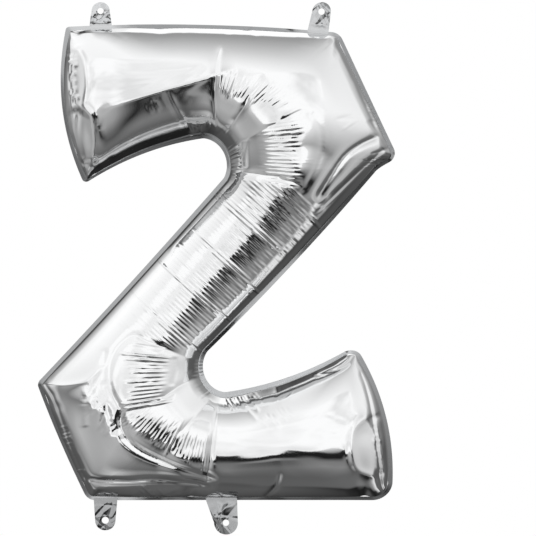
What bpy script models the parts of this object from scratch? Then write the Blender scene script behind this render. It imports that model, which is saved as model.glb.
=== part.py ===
# Foil balloon in the shape of a block letter, inflated, with its hanging tabs and filling tail.
# Metres, +Z up, the letter's front faces -Y. The origin is the middle of the whole object.
import math

import bmesh
import bpy
import numpy as np
from mathutils import Matrix, Vector

# Film and weld
WALL = 0.010  # stand-in thickness of each film panel
SEAM_WIDTH = 0.0055  # free width of the welded rim outside the bulge
SEAM_THICKNESS = 0.0012
TAB_THICKNESS = 0.0010
GAP = 0.0003  # clearance between pieces that touch
ROOT_CLEARANCE = 0.00035  # between a tab's rolled root and the rim
ROUNDNESS = 0.95  # share of the full round height that the creased film reaches

# The letter's rim, clockwise seen from the front: corner, x, z, corner radius, bow of the next side
RIM = (
    ("top_left", -0.2365, 0.3809, 0.0040, 0.0074),
    ("top_right", 0.1927, 0.3715, 0.0192, -0.0002),
    ("right", 0.2860, 0.1734, 0.0177, -0.0018),
    ("right_ear", 0.2517, 0.1553, 0.0240, 0.0070),
    ("lower_notch", -0.0860, -0.1977, 0.0284, -0.0241),
    ("lower_arm_tip", 0.2181, -0.1203, 0.0176, 0.0219),
    ("bottom_right", 0.2749, -0.3638, 0.0227, -0.0004),
    ("bottom_left", -0.2027, -0.3637, 0.0194, 0.0026),
    ("left", -0.2827, -0.1799, 0.0101, -0.0032),
    ("upper_notch", 0.0694, 0.2099, 0.0259, -0.0232),
    ("upper_arm_tip", -0.2082, 0.1338, 0.0062, 0.0206),
)
ARC_SHARE = 0.08  # a corner's arc takes this much of the rim coordinate on each side of its number
RIM_STEP = 0.003  # spacing of the points from which the rim is read
MIN_CORNER_RADIUS = 0.002

# Rungs across the tube: rim coordinate on the outer rail, and on the inner rail
RUNGS = (
    (0.0, 10.0),
    (0.345, 9.49),
    (0.503, 9.20),
    (0.614, 9.06),
    (0.825, 9.02),
    (1.44, 8.98),
    (2.5, 8.95),
    (3.225, 8.925),
    (3.62, 8.83),
    (3.90, 8.595),
    (3.94, 8.27),
    (4.0, 8.0),
    (4.03, 7.47),
    (4.06, 6.825),
    (4.085, 6.615),
    (4.20, 6.51),
    (4.45, 6.346),
    (5.0, 6.0),
)
START_CAP = 11.0  # rim coordinate of the end cap at the outer rail's start
END_CAP = 5.0
FINE_STEP = 0.0155  # station spacing on the film's outside
FINE_ACROSS = 12
COARSE_STEP = 0.030  # and on its inside
COARSE_ACROSS = 8

# Folds that radiate from the two inner corners: rung, side of the corner, reach, share of the height
FOLDS = (
    (3, "inner", 0.85, 0.10),
    (4, "inner", 0.55, 0.12),
    (5, "inner", 0.60, 0.17),
    (7, "inner", 0.66, 0.17),
    (10, "outer", 0.66, 0.17),
    (12, "outer", 0.60, 0.17),
    (13, "outer", 0.55, 0.12),
    (14, "outer", 0.85, 0.10),
)
FOLD_WIDTH = 0.011

# Tabs welded into the rim: rim coordinate, root width, end width, length, lean, hole
TABS = {
    "hanging_tab_top_left": (0.181, 0.0350, 0.0285, 0.0365, 0.0010, 0.0050),
    "hanging_tab_top_right": (0.877, 0.0330, 0.0290, 0.0455, 0.0030, 0.0050),
    "hanging_tab_bottom_left": (6.890, 0.0370, 0.0320, 0.0475, 0.0005, 0.0055),
    "fill_tail": (6.539, 0.0490, 0.0375, 0.0540, -0.0070, 0.0050),
}
END_SIDES = 14  # facets of a tab's round end
HOLE_SIDES = 20

# Colours of the film: silver inside and out, duller where it is welded
FILM_COLOUR = (0.86, 0.87, 0.88, 1.0)
WELD_COLOUR = (0.70, 0.71, 0.73, 1.0)


def clear_scene():
    for thing in list(bpy.data.objects):
        bpy.data.objects.remove(thing, do_unlink=True)


def foil(name, colour, roughness):
    material = bpy.data.materials.new(name)
    material.use_nodes = True
    shader = material.node_tree.nodes["Principled BSDF"]
    shader.inputs["Base Color"].default_value = colour
    shader.inputs["Metallic"].default_value = 1.0
    shader.inputs["Roughness"].default_value = roughness
    return material


def add_object(name, mesh, material):
    mesh.materials.append(material)
    thing = bpy.data.objects.new(name, mesh)
    bpy.context.scene.collection.objects.link(thing)
    return thing


def cross(a, b):
    return a[0] * b[1] - a[1] * b[0]


def read_rim(inset):
    """Points around the rim, moved inward by inset, each with its rim coordinate."""
    count = len(RIM)
    corners = [np.array(row[1:3]) for row in RIM]
    along = []
    for i in range(count):
        step = corners[(i + 1) % count] - corners[i]
        along.append(step / np.linalg.norm(step))
    out = [np.array((-way[1], way[0])) for way in along]
    moved = []
    for i in range(count):
        before = corners[i - 1] - out[i - 1] * inset
        after = corners[i] - out[i] * inset
        reach = cross(after - before, along[i]) / cross(along[i - 1], along[i])
        moved.append(before + along[i - 1] * reach)
    arcs = [corner_arc(i, inset, along, out, moved) for i in range(count)]
    points = []
    marks = []
    for i in range(count):
        centre, radius, cut, side, angle = arcs[i]
        length = np.linalg.norm(moved[(i + 1) % count] - moved[i])
        next_cut = arcs[(i + 1) % count][2]
        bow_in = bow(i - 1, 1 - cut / np.linalg.norm(moved[i] - moved[i - 1]), out)
        bow_out = bow(i, cut / length, out)
        steps = max(4, round(angle * radius / RIM_STEP))
        for k in range(steps + 1):
            share = k / steps
            spoke = turned(-out[i - 1] * side * radius, angle * share * side)
            points.append(centre + spoke + bow_in * (1 - share) + bow_out * share)
            marks.append(i + ARC_SHARE * (2 * share - 1))
        steps = max(2, round((length - cut - next_cut) / RIM_STEP))
        for k in range(1, steps):
            share = k / steps
            reach = (cut + (length - cut - next_cut) * share) / length
            points.append(moved[i] + along[i] * reach * length + bow(i, reach, out))
            marks.append(i + ARC_SHARE + (1 - 2 * ARC_SHARE) * share)
    return np.array(marks), np.array(points)


def corner_arc(i, inset, along, out, moved):
    """Centre, radius, length cut off the sides, turning side and angle of a rim corner's arc."""
    concave = cross(along[i - 1], along[i]) > 0
    radius = RIM[i][3] + inset if concave else max(RIM[i][3] - inset, MIN_CORNER_RADIUS)
    angle = math.acos(float(np.clip(along[i - 1] @ along[i], -1, 1)))
    cut = radius * math.tan(angle / 2)
    side = 1 if concave else -1
    centre = moved[i] - along[i - 1] * cut + out[i - 1] * side * radius
    return centre, radius, cut, side, angle


def bow(i, reach, out):
    """How far a side stands out of its straight line, as a parabola."""
    return out[i] * RIM[i][4] * 4 * reach * (1 - reach)


def turned(vector, angle):
    cos, sin = math.cos(angle), math.sin(angle)
    return np.array((vector[0] * cos - vector[1] * sin, vector[0] * sin + vector[1] * cos))


def rim_reader(inset):
    """A function from rim coordinates to points of the rim moved inward by inset."""
    marks, points = read_rim(inset)
    sides = len(RIM)
    marks = np.concatenate((marks - sides, marks, marks + sides))
    points = np.concatenate((points, points, points))

    def read(where):
        return np.stack([np.interp(where, marks, points[:, k]) for k in (0, 1)], axis=-1)

    return read


def stations(rim, spacing):
    """Rail coordinates of every station, and the station that each rung became."""
    outer = [RUNGS[0][0]]
    inner = [RUNGS[0][1]]
    rung_at = [0]
    for before, after in zip(RUNGS, RUNGS[1:]):
        share = np.linspace(0, 1, 20)
        rails = []
        for k in (0, 1):
            line = rim(before[k] + (after[k] - before[k]) * share)
            rails.append(np.linalg.norm(np.diff(line, axis=0), axis=1).sum())
        at_cap = before is RUNGS[0] or after is RUNGS[-1]
        count = max(3, round(max(rails) / spacing)) + (3 if at_cap else 0)
        share = np.arange(1, count + 1) / count
        if before is RUNGS[0]:
            share = share**2
        if after is RUNGS[-1]:
            share = 1 - (1 - share) ** 2
        outer.extend(before[0] + (after[0] - before[0]) * share)
        inner.extend(before[1] + (after[1] - before[1]) * share)
        rung_at.append(len(outer) - 1)
    return np.array(outer), np.array(inner), rung_at


def ladder(inset, spacing, across):
    """Plan positions of a grid that follows the tube, rows by station and columns across."""
    rim = rim_reader(inset)
    outer, inner, rung_at = stations(rim, spacing)
    share = (1 - np.cos(np.pi * np.arange(across + 1) / across)) / 2
    left = rim(outer)[:, None, :]
    right = rim(inner)[:, None, :]
    plan = left + (right - left) * share[None, :, None]
    caps = (
        (0, rung_at[1], START_CAP - share),
        (len(outer) - 1, rung_at[-2], END_CAP + share),
    )
    for cap, last, where in caps:
        push = rim(where) - plan[cap]
        rows = np.arange(min(cap, last), max(cap, last) + 1)
        fade = (1 - np.abs(rows - cap) / abs(last - cap)) ** 2
        plan[rows] += fade[:, None, None] * push[None]
    return plan, share, rung_at


def inflate(plan):
    """Height of a film held flat at its rim: at full roundness a long straight tube is a circle."""
    rows, columns = plan.shape[:2]
    number = np.arange(rows * columns).reshape(rows, columns)
    flat = plan.reshape(-1, 2)
    quads = np.stack(
        (number[:-1, :-1], number[1:, :-1], number[1:, 1:], number[:-1, 1:]), axis=-1
    ).reshape(-1, 4)
    triangles = np.concatenate((quads[:, (0, 1, 2)], quads[:, (0, 2, 3)]))
    stiffness = np.zeros((flat.shape[0], flat.shape[0]))
    load = np.zeros(flat.shape[0])
    edge = [flat[triangles[:, (k + 2) % 3]] - flat[triangles[:, (k + 1) % 3]] for k in range(3)]
    area = np.abs(cross(edge[0].T, edge[1].T)) / 2
    for i in range(3):
        np.add.at(load, triangles[:, i], area / 3)
        for j in range(3):
            pull = (edge[i] * edge[j]).sum(axis=1) / (4 * area)
            np.add.at(stiffness, (triangles[:, i], triangles[:, j]), pull)
    free = number[1:-1, 1:-1].ravel()
    lift = np.zeros(flat.shape[0])
    lift[free] = np.linalg.solve(stiffness[np.ix_(free, free)], load[free])
    return ROUNDNESS * np.sqrt(2 * np.maximum(lift, 0)).reshape(rows, columns)


def fold(plan, height, share, rung_at):
    """Presses the folds that fan out of the two inner corners into the height."""
    left = 1.0
    for rung, rail, reach, depth in FOLDS:
        start, end = plan[rung_at[rung], 0], plan[rung_at[rung], -1]
        way = (end - start) / np.linalg.norm(end - start)
        away = cross(np.moveaxis(plan - start, -1, 0), way)
        run = 1 - share if rail == "inner" else share
        fade = np.clip(1 - run / reach, 0, 1) ** 0.5
        left = left * (1 - depth * fade[None, :] * np.exp(-((away / FOLD_WIDTH) ** 2)))
    return height * left


def dome(inset, spacing, across, side, base, skirt):
    """Closed solid between the inflated surface on one side and its flat base."""
    plan, share, rung_at = ladder(inset, spacing, across)
    height = fold(plan, inflate(plan), share, rung_at)
    rows, columns = height.shape
    shape = bmesh.new()
    bmesh.ops.create_grid(shape, x_segments=rows - 1, y_segments=columns - 1, size=0.5)
    for vertex in shape.verts:
        row = round((vertex.co.x + 0.5) * (rows - 1))
        column = round((vertex.co.y + 0.5) * (columns - 1))
        x, z = plan[row, column]
        vertex.co = (x, side * (base + height[row, column]), z)
    edges = [edge for edge in shape.edges if edge.is_boundary]
    if skirt:
        grown = bmesh.ops.extrude_edge_only(shape, edges=edges)["geom"]
        moved = [item for item in grown if isinstance(item, bmesh.types.BMVert)]
        bmesh.ops.translate(shape, verts=moved, vec=(0, -side * skirt, 0))
        edges = [edge for edge in shape.edges if edge.is_boundary]
    bmesh.ops.contextual_create(shape, geom=edges)
    bmesh.ops.recalc_face_normals(shape, faces=shape.faces)
    mesh = bpy.data.meshes.new("dome")
    shape.to_mesh(mesh)
    shape.free()
    return mesh


def hidden(thing):
    thing.hide_render = True
    thing.display_type = "WIRE"
    return thing


def cut(thing, cutter):
    boolean = thing.modifiers.new("cut", "BOOLEAN")
    boolean.operation = "DIFFERENCE"
    boolean.solver = "EXACT"
    boolean.object = cutter


def film_panel(name, side, film):
    """One half of the envelope: a dished film whose rim lies on the weld."""
    base = SEAM_THICKNESS / 2 + GAP
    panel = add_object(name, dome(SEAM_WIDTH, FINE_STEP, FINE_ACROSS, side, base, 0), film)
    hollow = dome(SEAM_WIDTH + WALL, COARSE_STEP, COARSE_ACROSS, side, base, WALL)
    cut(panel, hidden(add_object(name + "_hollow", hollow, film)))
    panel.data.shade_smooth()
    return panel


def perimeter_seam(weld):
    """The flat welded rim, a closed band that reaches in under both panels' edges."""
    outer_rim = rim_reader(0.0)
    inner_rim = rim_reader(SEAM_WIDTH + WALL)
    marks = seam_marks(outer_rim)
    band = bmesh.new()
    bmesh.ops.create_grid(band, x_segments=len(marks) - 1, y_segments=1, size=0.5)
    outer, inner = outer_rim(marks), inner_rim(marks)
    for vertex in band.verts:
        i = round((vertex.co.x + 0.5) * (len(marks) - 1))
        x, z = outer[i] if vertex.co.y > 0 else inner[i]
        vertex.co = (x, 0, z)
    bmesh.ops.remove_doubles(band, verts=band.verts, dist=0.00001)
    thicken(band, SEAM_THICKNESS)
    mesh = bpy.data.meshes.new("seam")
    band.to_mesh(mesh)
    band.free()
    return add_object("perimeter_seam", mesh, weld)


def seam_marks(rim):
    """Rim coordinates all the way round, close together on the corners' arcs."""
    marks = [0.0]
    for i in range(len(RIM)):
        stops = (i, i + ARC_SHARE, i + 1 - ARC_SHARE, i + 1)
        for low, high in zip(stops, stops[1:]):
            line = rim(np.linspace(low, high, 30))
            length = np.linalg.norm(np.diff(line, axis=0), axis=1).sum()
            arc = high - low <= ARC_SHARE * 1.001
            steps = max(3, round(length / 0.004)) if arc else max(2, round(length / 0.016))
            marks.extend(low + (high - low) * k / steps for k in range(1, steps + 1))
    return np.array(marks)


def thicken(shape, thickness):
    """Makes a closed plate of a flat sheet in the XZ plane, half of it on each side."""
    sheet = list(shape.faces)
    grown = bmesh.ops.extrude_face_region(shape, geom=sheet, use_keep_orig=True)["geom"]
    moved = [item for item in grown if isinstance(item, bmesh.types.BMVert)]
    bmesh.ops.translate(shape, verts=shape.verts, vec=(0, -thickness / 2, 0))
    bmesh.ops.translate(shape, verts=moved, vec=(0, thickness, 0))
    bmesh.ops.recalc_face_normals(shape, faces=shape.faces)


def tab_outline(root, end, length, lean):
    """Tapered tab with a round end, in its own plane: root on the X axis, outward along +Z."""
    radius = end / 2
    points = [(-root / 2, 0.0), (root / 2, 0.0)]
    for k in range(END_SIDES + 1):
        angle = math.pi * k / END_SIDES
        points.append((lean + radius * math.cos(angle), length - radius + radius * math.sin(angle)))
    return points


def film_tab(name, weld):
    """A tab of welded film with a punched hole, hinged where it leaves the rim."""
    where, root, end, length, lean, hole = TABS[name]
    rim = rim_reader(0.0)
    place = rim(where)
    way = rim(where + 0.02) - rim(where - 0.02)
    angle = math.atan2(way[1], way[0])
    outward = np.array((-math.sin(angle), math.cos(angle)))
    axis = place + outward * (TAB_THICKNESS / 2 + ROOT_CLEARANCE)
    plate = bmesh.new()
    corners = [plate.verts.new((x, 0, z)) for x, z in tab_outline(root, end, length, lean)]
    plate.faces.new(corners)
    thicken(plate, TAB_THICKNESS)
    roll_root(plate, root)
    mesh = bpy.data.meshes.new(name)
    plate.to_mesh(mesh)
    plate.free()
    tab = add_object(name, mesh, weld)
    tab.location = Vector((axis[0], 0, axis[1]))
    tab.rotation_euler = Matrix.Rotation(-angle, 3, "Y").to_euler()
    punch = punch_cutter(name, lean, length - end / 2, hole, weld)
    punch.parent = tab
    cut(tab, punch)
    return tab


def roll_root(plate, root):
    """Rounds the tab's root into a half roll whose middle is the hinge axis."""
    edges = [
        edge
        for edge in plate.edges
        if all(abs(vertex.co.z) < 1e-6 for vertex in edge.verts)
        and abs(edge.calc_length() - root) < 1e-5
    ]
    bmesh.ops.bevel(
        plate,
        geom=edges,
        offset=TAB_THICKNESS * 0.49,
        segments=3,
        profile=0.5,
        affect="EDGES",
        material=-1,
    )
    bmesh.ops.translate(plate, verts=plate.verts, vec=(0, 0, -TAB_THICKNESS / 2))


def punch_cutter(name, x, z, radius, material):
    drum = bmesh.new()
    bmesh.ops.create_cone(
        drum,
        cap_ends=True,
        segments=HOLE_SIDES,
        radius1=radius,
        radius2=radius,
        depth=TAB_THICKNESS * 6,
        matrix=Matrix.Translation((x, 0, z)) @ Matrix.Rotation(math.pi / 2, 4, "X"),
    )
    mesh = bpy.data.meshes.new(name + "_punch")
    drum.to_mesh(mesh)
    drum.free()
    return hidden(add_object(name + "_punch", mesh, material))


def main():
    clear_scene()
    film = foil("silver film", FILM_COLOUR, 0.12)
    weld = foil("welded film", WELD_COLOUR, 0.25)
    film_panel("front_panel", -1, film)
    film_panel("back_panel", 1, film)
    perimeter_seam(weld)
    for name in TABS:
        film_tab(name, weld)


main()
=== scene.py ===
import math
import time

import bmesh
import bpy
import numpy as np
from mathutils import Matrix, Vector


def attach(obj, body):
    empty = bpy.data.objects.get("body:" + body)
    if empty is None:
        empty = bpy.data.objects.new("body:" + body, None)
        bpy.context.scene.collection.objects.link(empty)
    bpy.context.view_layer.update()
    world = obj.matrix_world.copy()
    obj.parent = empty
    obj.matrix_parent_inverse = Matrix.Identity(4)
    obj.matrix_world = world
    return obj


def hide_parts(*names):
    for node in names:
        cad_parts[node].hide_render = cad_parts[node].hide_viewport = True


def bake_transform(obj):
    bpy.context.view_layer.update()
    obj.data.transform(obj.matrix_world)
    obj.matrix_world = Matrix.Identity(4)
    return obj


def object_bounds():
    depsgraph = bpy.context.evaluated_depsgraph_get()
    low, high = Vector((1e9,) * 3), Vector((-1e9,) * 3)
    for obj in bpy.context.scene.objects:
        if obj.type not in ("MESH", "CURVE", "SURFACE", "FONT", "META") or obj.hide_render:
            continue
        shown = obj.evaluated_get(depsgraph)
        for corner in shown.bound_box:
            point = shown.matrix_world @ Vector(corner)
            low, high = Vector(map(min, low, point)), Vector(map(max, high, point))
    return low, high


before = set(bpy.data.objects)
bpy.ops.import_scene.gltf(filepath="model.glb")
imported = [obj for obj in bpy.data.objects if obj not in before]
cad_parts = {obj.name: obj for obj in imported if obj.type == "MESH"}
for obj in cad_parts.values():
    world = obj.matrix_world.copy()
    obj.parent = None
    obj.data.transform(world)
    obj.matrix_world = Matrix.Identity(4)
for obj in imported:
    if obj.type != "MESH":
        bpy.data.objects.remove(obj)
began = time.time()
cadLow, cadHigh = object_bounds()

pixel = 0.838 / 533  # metres in one pixel of the photo, at the object
photoMiddle = (216.5, 269.0)  # the photo's pixel that lies on the frame's origin
millimetre = 0.001
sharpAngle = math.radians(40)  # sheets keep an edge where they turn by more than this


def report(words):
    print(f"{words} at {time.time() - began:.0f} s", flush=True)


def photoPoint(column, row):
    return ((column - photoMiddle[0]) * pixel, (photoMiddle[1] - row) * pixel)


def addObject(name, data):
    added = bpy.data.objects.new(name, data)
    bpy.context.scene.collection.objects.link(added)
    return added


def meshOf(name, shape):
    mesh = bpy.data.meshes.new(name)
    shape.to_mesh(mesh)
    shape.free()
    return mesh


# Camera: straight in front of the letter, the photo's frame 536 pixels wide and high

shot = {
    "side": 536,
    "distance": 3.2,
    "sensor": 36.0,
}


def addCamera():
    width = shot["side"] * pixel
    lens = bpy.data.cameras.new("shotCamera")
    lens.sensor_width = shot["sensor"]
    lens.lens = shot["sensor"] * shot["distance"] / width
    x, z = photoPoint(shot["side"] / 2, shot["side"] / 2)
    camera = addObject("shotCamera", lens)
    camera.location = (x, -shot["distance"], z)
    camera.rotation_euler = (math.pi / 2, 0, 0)
    bpy.context.scene.camera = camera


# Shader maths: a wrapped socket, so that node maths reads as plain expressions


class Value:
    def __init__(self, tree, socket):
        self.tree = tree
        self.socket = socket

    def maths(self, operation, other=0.0, flipped=False):
        pair = (other, self) if flipped else (self, other)
        return self.tree.node("ShaderNodeMath", {"operation": operation}, {0: pair[0], 1: pair[1]})

    def __add__(self, other):
        return self.maths("ADD", other)

    def __radd__(self, other):
        return self.maths("ADD", other, True)

    def __sub__(self, other):
        return self.maths("SUBTRACT", other)

    def __rsub__(self, other):
        return self.maths("SUBTRACT", other, True)

    def __mul__(self, other):
        return self.maths("MULTIPLY", other)

    def __rmul__(self, other):
        return self.maths("MULTIPLY", other, True)

    def __truediv__(self, other):
        return self.maths("DIVIDE", other)


class Tree:
    def __init__(self, tree):
        self.tree = tree

    # adds a node: its settings first, then the values or links of its sockets
    def node(self, kind, settings=None, values=None, output=0):
        made = self.tree.nodes.new(kind)
        for name, setting in (settings or {}).items():
            if name == "stops":
                self.setStops(made.color_ramp, setting)
            else:
                setattr(made, name, setting)
        for name, value in (values or {}).items():
            if isinstance(value, Value):
                self.tree.links.new(value.socket, made.inputs[name])
            else:
                made.inputs[name].default_value = value
        return Value(self, made.outputs[output]) if len(made.outputs) else made

    def setStops(self, ramp, stops):
        while len(ramp.elements) < len(stops):
            ramp.elements.new(1.0)
        for element, (place, level) in zip(ramp.elements, stops):
            element.position = place
            element.color = (level, level, level, 1.0)


# first tones of the directions near straight up
overhead = ((0, 1.1), (35, 1.1), (50, 0.92), (60, 0.80), (71, 0.66), (82, 0.55), (94, 0.45), (108, 0.36),
            (121, 0.32), (126, 1.1))

# Studio: a room that the foil mirrors. The camera stands at turn 0 and straight behind the letter is
# turn 180. A direction is 0 at the right, 90 above, -90 below and -180 or 180 at the left. For each,
# tones gives turns with the brightness met there and the brightness straight behind, and screen says
# how far the white screen round the camera reaches.

studio = {
    "floorDrop": 0.75,  # the floor lies this far under the object
    "floorRadius": 2.2,
    "floorColour": (0.86, 0.86, 0.86, 1.0),
    "screen": ((-180, 36), (-160, 30), (-135, 24), (-118, 22), (-105, 19), (-90, 17), (-75, 8), (-60, 5), (-41, 11),
               (-22, 14), (0, 20), (45, 60), (90, 40), (139, 60), (166, 52), (180, 36)),
    "screenEdge": 2.0,
    "cloudNoise": {"Scale": 2.6, "Detail": 3.0},
    "clouds": (0.35, 0.60, 0.80, 1.04),  # the noise between these two turns into these two tones
    "tones": (
        (-180, ((36, 0.70), (44, 0.36), (56, 0.20), (88, 0.20), (100, 0.65), (114, 0.75), (126, 0.30),
                (150, 0.22)), 0.12),
        (-156, ((26, 0.60), (41, 0.38), (60, 0.40), (80, 0.50), (96, 0.32), (104, 0.20), (118, 0.10)), 0.06),
        (-130, ((20, 0.60), (30, 0.46), (56, 0.45), (86, 0.30), (98, 0.15), (104, 0.40), (110, 0.40),
                (116, 0.10)), 0.04),
        (-112, ((20, 0.05), (25, 0.05), (32, 0.28), (48, 0.34), (66, 0.20), (74, 0.55), (83, 0.55), (90, 0.15),
                (108, 0.05)), 0.02),
        (-92, ((16, 0.012), (27, 0.012), (30, 0.32), (34, 0.26), (38, 0.010), (47, 0.014), (56, 0.085),
               (110, 0.12), (150, 0.07), (160, 0.02)), 0.02),
        (-83, ((8, 0.012), (24, 0.012), (33, 0.16), (60, 0.20), (80, 0.11), (86, 0.12), (94, 0.12),
               (101, 0.03)), 0.012),
        (-75, ((5, 0.012), (20, 0.012), (32, 0.16), (58, 0.24), (76, 0.13), (83, 0.14), (91, 0.14),
               (99, 0.012)), 0.012),
        (-60, ((5, 0.012), (34, 0.012), (46, 0.20), (80, 0.18), (88, 0.28), (100, 0.28), (108, 0.03)), 0.03),
        (-44, ((8, 0.16), (16, 0.012), (45, 0.016), (56, 0.24), (68, 0.30), (87, 0.22), (94, 0.85), (112, 0.85),
               (119, 0.06), (137, 0.08)), 0.06),
        (-38, ((8, 0.20), (16, 0.02), (44, 0.03), (56, 0.24), (68, 0.36), (78, 0.50), (94, 0.45), (100, 0.12),
               (116, 0.06), (137, 0.08)), 0.06),
        (-28, ((12, 0.45), (28, 0.20), (47, 0.22), (62, 0.40), (80, 0.50), (94, 0.40), (102, 0.14),
               (130, 0.10)), 0.08),
        (0, ((18, 0.74), (36, 0.60), (60, 0.62), (84, 0.66), (98, 0.66), (106, 0.30), (116, 0.10), (134, 0.09),
             (150, 0.20)), 0.12),
        (22, ((20, 1.0), (40, 0.95), (60, 0.96), (104, 0.92), (112, 0.60), (122, 0.45), (140, 0.28)), 0.15),
        (45, ((0, 1.0), (50, 1.0), (66, 0.84), (90, 0.84), (110, 0.84), (124, 0.76), (132, 0.50), (140, 0.30)), 0.20),
        (82, (*overhead, (165, 1.1), (172, 0.4)), 0.2),
        (97, (*overhead, (160, 1.1), (168, 0.3)), 0.1),
        (109, ((0, 1.1), (60, 1.0), (90, 1.0), (118, 0.95), (124, 0.05), (146, 0.03), (150, 0.5), (162, 0.3)), 0.1),
        (139, ((0, 1.0), (30, 0.90), (70, 0.95), (100, 1.1), (116, 1.0), (128, 0.66), (142, 0.42),
               (148, 0.06)), 0.03),
        (164, ((30, 1.0), (54, 0.80), (90, 0.80), (118, 0.80), (126, 0.20), (150, 0.10)), 0.06),
    ),
    "light": 1.0,
}


def addStudio():
    world = bpy.data.worlds.new("studio")
    world.use_nodes = True
    bpy.context.scene.world = world
    world.node_tree.nodes.clear()
    tree = Tree(world.node_tree)
    way = tree.node("ShaderNodeTexCoord", None, None, "Generated")
    x = tree.node("ShaderNodeSeparateXYZ", None, {0: way}, "X")
    y = Value(tree, x.socket.node.outputs["Y"])
    z = Value(tree, x.socket.node.outputs["Z"])
    turn = (0.0 - y).maths("ARCCOSINE") * (180 / math.pi)
    direction = z.maths("ARCTAN2", x) * (180 / math.pi)
    room = None
    for angle, stops, behind in (*studio["tones"], (180, *studio["tones"][0][1:])):
        stops = [(turned / 180, level) for turned, level in (*stops, (180, behind))]
        tone = tree.node("ShaderNodeValToRGB", {"stops": stops}, {0: turn / 180.0})
        if room:
            share = tree.node("ShaderNodeMapRange", None, {0: direction, 1: before, 2: angle})
            tone = tree.node("ShaderNodeMix", {"data_type": "RGBA"}, {0: share, 6: room, 7: tone}, 2)
        room, before = tone, angle
    stops = [((angle + 180) / 360, reach / 180) for angle, reach in studio["screen"]]
    reach = tree.node("ShaderNodeValToRGB", {"stops": stops}, {0: (direction + 180.0) / 360.0})
    beyond = (turn - reach * 180.0) / studio["screenEdge"]
    inside = tree.node("ShaderNodeMath", {"operation": "SUBTRACT", "use_clamp": True}, {0: 0.5, 1: beyond})
    cloud = tree.node("ShaderNodeTexNoise", None, {"Vector": way, **studio["cloudNoise"]})
    screen = tree.node("ShaderNodeMapRange", None, {0: cloud, **dict(enumerate(studio["clouds"], 1))})
    room = tree.node("ShaderNodeMix", {"data_type": "RGBA"}, {0: inside, 6: room, 7: screen}, 2)
    seen = tree.node("ShaderNodeBackground", None, {0: (1, 1, 1, 1), 1: 1.0})
    lit = tree.node("ShaderNodeBackground", None, {0: room, 1: studio["light"]})
    camera = tree.node("ShaderNodeLightPath")
    mixed = tree.node("ShaderNodeMixShader", None, {0: camera, 1: lit, 2: seen})
    tree.node("ShaderNodeOutputWorld", None, {0: mixed})


def addFloor():
    disc = bmesh.new()
    bmesh.ops.create_circle(disc, cap_ends=True, segments=96, radius=studio["floorRadius"])
    bmesh.ops.translate(disc, verts=disc.verts, vec=(0, 0, cadLow.z - studio["floorDrop"]))
    mesh = meshOf("floor", disc)
    material = bpy.data.materials.new("floor")
    material.use_nodes = True
    shader = material.node_tree.nodes["Principled BSDF"]
    shader.inputs["Base Color"].default_value = studio["floorColour"]
    shader.inputs["Roughness"].default_value = 0.9
    mesh.materials.append(material)
    floor = addObject("floor", mesh)
    floor.visible_glossy = False


# Outlines: the letter's rim, fitted to the photo, and the flat pattern that it is cut from.
# Each corner has x, z, radius and the bow of the side that follows, clockwise from the front.

letterRim = (
    (-0.2365, 0.3809, 0.0040, 0.0074),
    (0.1927, 0.3715, 0.0192, -0.0002),
    (0.2860, 0.1734, 0.0177, -0.0018),
    (0.2517, 0.1553, 0.0240, 0.0070),
    (-0.0860, -0.1977, 0.0284, -0.0241),
    (0.2181, -0.1203, 0.0176, 0.0219),
    (0.2749, -0.3638, 0.0227, -0.0004),
    (-0.2027, -0.3637, 0.0194, 0.0026),
    (-0.2827, -0.1799, 0.0101, -0.0032),
    (0.0694, 0.2099, 0.0259, -0.0232),
    (-0.2082, 0.1338, 0.0062, 0.0206),
)

# the flat letter looks the same turned half round, but for one small corner at its right
flatHalf = (
    (-0.255, 0.470, 0.008, 0.020),
    (0.203, 0.397, 0.014, 0.004),
    (0.283, 0.202, 0.012, 0.0),
    (0.021, -0.199, 0.014, -0.011),
    (0.275, -0.225, 0.010, 0.019),
)
flatCorner = (0.262, 0.156, 0.024, 0.0)
flatTurned = tuple((-across, -up, radius, bow) for across, up, radius, bow in flatHalf)
flatPattern = (*flatHalf[:3], flatCorner, *flatHalf[3:], *flatTurned)

rimRule = {"arcShare": 0.08, "step": 0.003, "leastRadius": 0.002, "weld": 0.0055}


def cross(a, b):
    return a[0] * b[1] - a[1] * b[0]


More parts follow.
